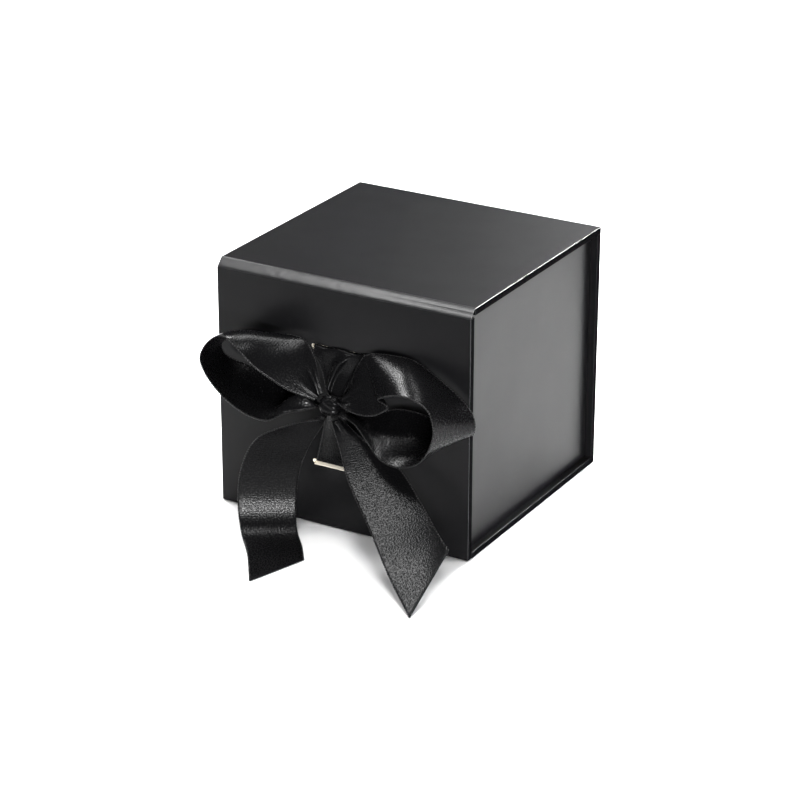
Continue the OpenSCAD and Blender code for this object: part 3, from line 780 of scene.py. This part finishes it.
# %% The band through the flap
RUN_LOW, RUN_TOP = SLITS[0] + 0.5, SLITS[1] - 0.5
BEHIND = FLAP_BACK + 0.15
HALF_RIBBON, HALF_GATHERED = RIBBON_W / 2, 3.3
HOLLOW = 0.3
SEAT = (4.0 + RIBBON_T) / math.sqrt(2)
OFF_FLAP = FRONT - RIBBON_T
BAND_COLUMNS = 49
FLAT_ROWS = 20


def rounded(corner, start, end, radius=0.45, steps=5):
    """Points of a small bend where the path turns from start to end at a corner."""
    corner = np.array(corner, float)
    a, b = (corner + radius * unit(np.array(p) - corner) for p in (start, end))
    t = np.linspace(0, 1, steps)[:, None]
    return (1 - t) ** 2 * a + 2 * t * (1 - t) * corner + t**2 * b


def band_side(run_z, up, *puff, steps=30):
    """The path from the knot to the slit in (half width, y, z), with the points of a puff before the slit."""
    start = np.array([HALF_GATHERED, KNOT_Y + SEAT, KNOT_Z + up * SEAT])
    end = np.array([HALF_RIBBON, OFF_FLAP, run_z])
    middle = (start + end) / 2 + [0, HOLLOW, 0]
    return through([start, middle, *puff, end], steps)


def shares(path):
    length = lengths_along(path[:, 1:])
    return (length / length[-1])[:-2, None]


puff = [(10.6, FRONT - 1.9, 71.6), (10.9, FRONT - 1.5, 74.2), (11, FRONT - 0.85, 74.95)]
upper, lower = band_side(RUN_TOP + 0.5, 1, *puff), band_side(RUN_LOW, -1)
bend_in = rounded((OFF_FLAP, RUN_TOP), upper[-4, 1:], (BEHIND, RUN_TOP))
bend_down = rounded((BEHIND, RUN_TOP), (FRONT, RUN_TOP), (BEHIND, RUN_LOW))
bend_out = rounded((BEHIND, RUN_LOW), (BEHIND, RUN_TOP), (FRONT, RUN_LOW))
bend_up = rounded((OFF_FLAP, RUN_LOW), (BEHIND, RUN_LOW), lower[-4, 1:])
flat_z = np.linspace(bend_down[-1, 1], bend_out[0, 1], FLAT_ROWS + 2)[1:-1]
flat_run = np.stack([np.full(FLAT_ROWS, BEHIND), flat_z], 1)
hidden = np.vstack([bend_in, bend_down, flat_run, bend_out, bend_up])
path = np.vstack([upper[:-2], np.c_[np.full(len(hidden), HALF_RIBBON), hidden], lower[-3::-1]])
over = np.linspace(0, 1, BAND_COLUMNS)
band = np.stack([
    path[:, :1] * (2 * over - 1),
    np.repeat(path[:, 1:2], BAND_COLUMNS, 1),
    np.repeat(path[:, 2:], BAND_COLUMNS, 1),
], -1)
print("the band's path has", len(path), "points")

# %% [markdown]
# ## The band's folds
# The knot draws the 22 mm ribbon together, so the upper part is folded over on a slant and turns up at its
# right side, with a small ruffle at the slit. The lower part bulges. Both ease off towards their ends.

# %% The band's folds
from_knot = shares(upper)
ease = np.clip(np.minimum(from_knot / 0.12, (0.9 - from_knot) / 0.16), 0, 1)
crest = 0.14 + 0.62 * from_knot
slope = np.where(over < crest, (over - crest) / 0.13, (over - crest) / 0.05)
slant_fold = 1.7 * np.exp(-slope**2) * ease
side_fold = 1.0 * np.exp(-(((over - 0.97) / 0.07) ** 2)) * ease
ruffle = 0.3 * np.cos(11 * over + 1) * np.exp(-(((from_knot - 0.93) / 0.05) ** 2))
band[:len(ease), :, 1] -= slant_fold + side_fold
band[:len(ease), :, 2] += ruffle

from_knot = shares(lower)[::-1]
ease = np.minimum(1, np.minimum(from_knot / 0.12, (1 - from_knot) / 0.16))
bulge = 1.1 * np.sin(math.pi * over) ** 1.5 + 0.5 * np.exp(-(((over - 0.95) / 0.06) ** 2))
band[-len(ease):, :, 1] -= bulge * ease
ribbon("band", band, "stretched", "ribbon_upper_band", "ribbon_lower_band", "ribbon_back_run")

# %% [markdown]
# ## The knot
# The knot is the ribbon pulled tight round the middle of the bow, so it shows as one small smooth bundle.
# It starts as a sphere primitive, is drawn out to a short barrel, and gets two tucks along its top and a
# slanting dent. The weave runs round it.

# %% The knot
KNOT_HALF, KNOT_R, WEAVE_R = 4.3, 3.75, 4.0
TUCKS_AT, TUCK_H, DENT = (56, 84), 0.42, 0.5

knot = primitive("knot", bpy.ops.mesh.primitive_uv_sphere_add, segments=96, ring_count=64, radius=1)
for vertex in knot.data.vertices:
    angle = math.degrees(math.atan2(vertex.co.x, vertex.co.y))
    x = KNOT_HALF * math.sin(vertex.co.z * math.pi / 2)
    barrel = (1 - abs(x / KNOT_HALF) ** 3.2) ** (1 / 2.2)
    wave = 5 * math.sin(1.5 * x)
    tucks = sum(TUCK_H * math.exp(-(((angle - at - wave) / 8) ** 2)) for at in TUCKS_AT)
    dent = DENT * math.exp(-(((angle - 12 + 7 * x) / 13) ** 2))
    radius = barrel * (KNOT_R + tucks - dent)
    y = KNOT_Y - radius * math.cos(math.radians(angle))
    z = KNOT_Z + radius * math.sin(math.radians(angle))
    vertex.co = Vector((x, y, z)) * MM
face_outward(knot)
bpy.ops.object.shade_smooth()
knot.data.uv_layers[0].name = "weave"
for corner in knot.data.loops:
    point = knot.data.vertices[corner.vertex_index].co
    angle = math.atan2(point.z - KNOT_Z * MM, KNOT_Y * MM - point.y)
    knot.data.uv_layers[0].data[corner.index].uv = (angle * WEAVE_R * MM, point.x)
dress(knot, satin)
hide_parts("bow_knot")
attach(knot, "flap")
print("knot faces:", len(knot.data.polygons))

# %% [markdown]
# ## The paper folds
# Between two panels the paper crosses a gap with no board behind it. In front it is scored along two lines,
# so it lies as a narrow bevel, crinkled where it has been opened and shut, with a faint crease towards its
# right end. A grid primitive is shaped into that profile.

# %% The paper folds
FOLD_COLUMNS, FOLD_ROWS = 160, 60
FOLD_T = 0.2
FOLD_HALF = HALF_WIDTH - 0.15
CREASE_AT, CREASE_W = 0.52, 0.07


def fold_strip(name, profile, crinkle, crease):
    """A strip of paper along X. Its section follows the profile's (y, z) points in millimetres. The crease
    deepens towards the right end."""
    path = np.array(profile, float)
    steps = lengths_along(path)
    piece = primitive(
        name, bpy.ops.mesh.primitive_grid_add, x_subdivisions=FOLD_COLUMNS, y_subdivisions=FOLD_ROWS, size=1,
    )
    for vertex in piece.data.vertices:
        share = vertex.co.y + 0.5
        x = vertex.co.x * 2 * FOLD_HALF
        y, z = (np.interp(share * steps[-1], steps, path[:, i]) for i in (0, 1))
        wave = math.sin(x * 0.9 + 3 * math.sin(x * 0.21)) * math.sin(x * 0.37 + 5 * share)
        wave += 0.25 * math.sin(x * 3.1 + 4 * math.sin(x * 0.53) + 9 * share)
        sink = crinkle * wave * math.sin(math.pi * share)
        sink += crease * max(0, x / HALF_WIDTH) * math.exp(-(((share - CREASE_AT) / CREASE_W) ** 2))
        vertex.co = Vector((x, y + sink, z - sink)) * MM
    apply_modifier(piece, "SOLIDIFY", thickness=FOLD_T * MM, offset=-1)
    face_outward(piece)
    bpy.ops.object.shade_smooth_by_angle(angle=math.radians(35))
    dress(piece, creased_paper)
    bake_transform(piece)
    print(name, len(piece.data.polygons), "faces")


front_profile = [
    (-49.45, 100.86), (-49.8, 100.92), (-50.12, 100.79), (-50.5, 100.47), (-51.0, 100.0), (-51.5, 99.5),
    (-52.0, 98.99), (-52.5, 98.46), (-52.85, 98.05), (-53.02, 97.78), (-53.06, 97.6), (-52.95, 97.3),
]
back_profile = [
    (52.45, 100.9), (52.85, 100.86), (53.1, 100.55), (53.16, 99.9), (53.16, 98.8), (53.08, 98.25),
    (53.2, 97.8), (53.24, 97.3), (53.1, 96.8),
]
fold_strip("front_fold", front_profile, 0.017, 0.05)
fold_strip("back_fold", back_profile, 0.01, 0)
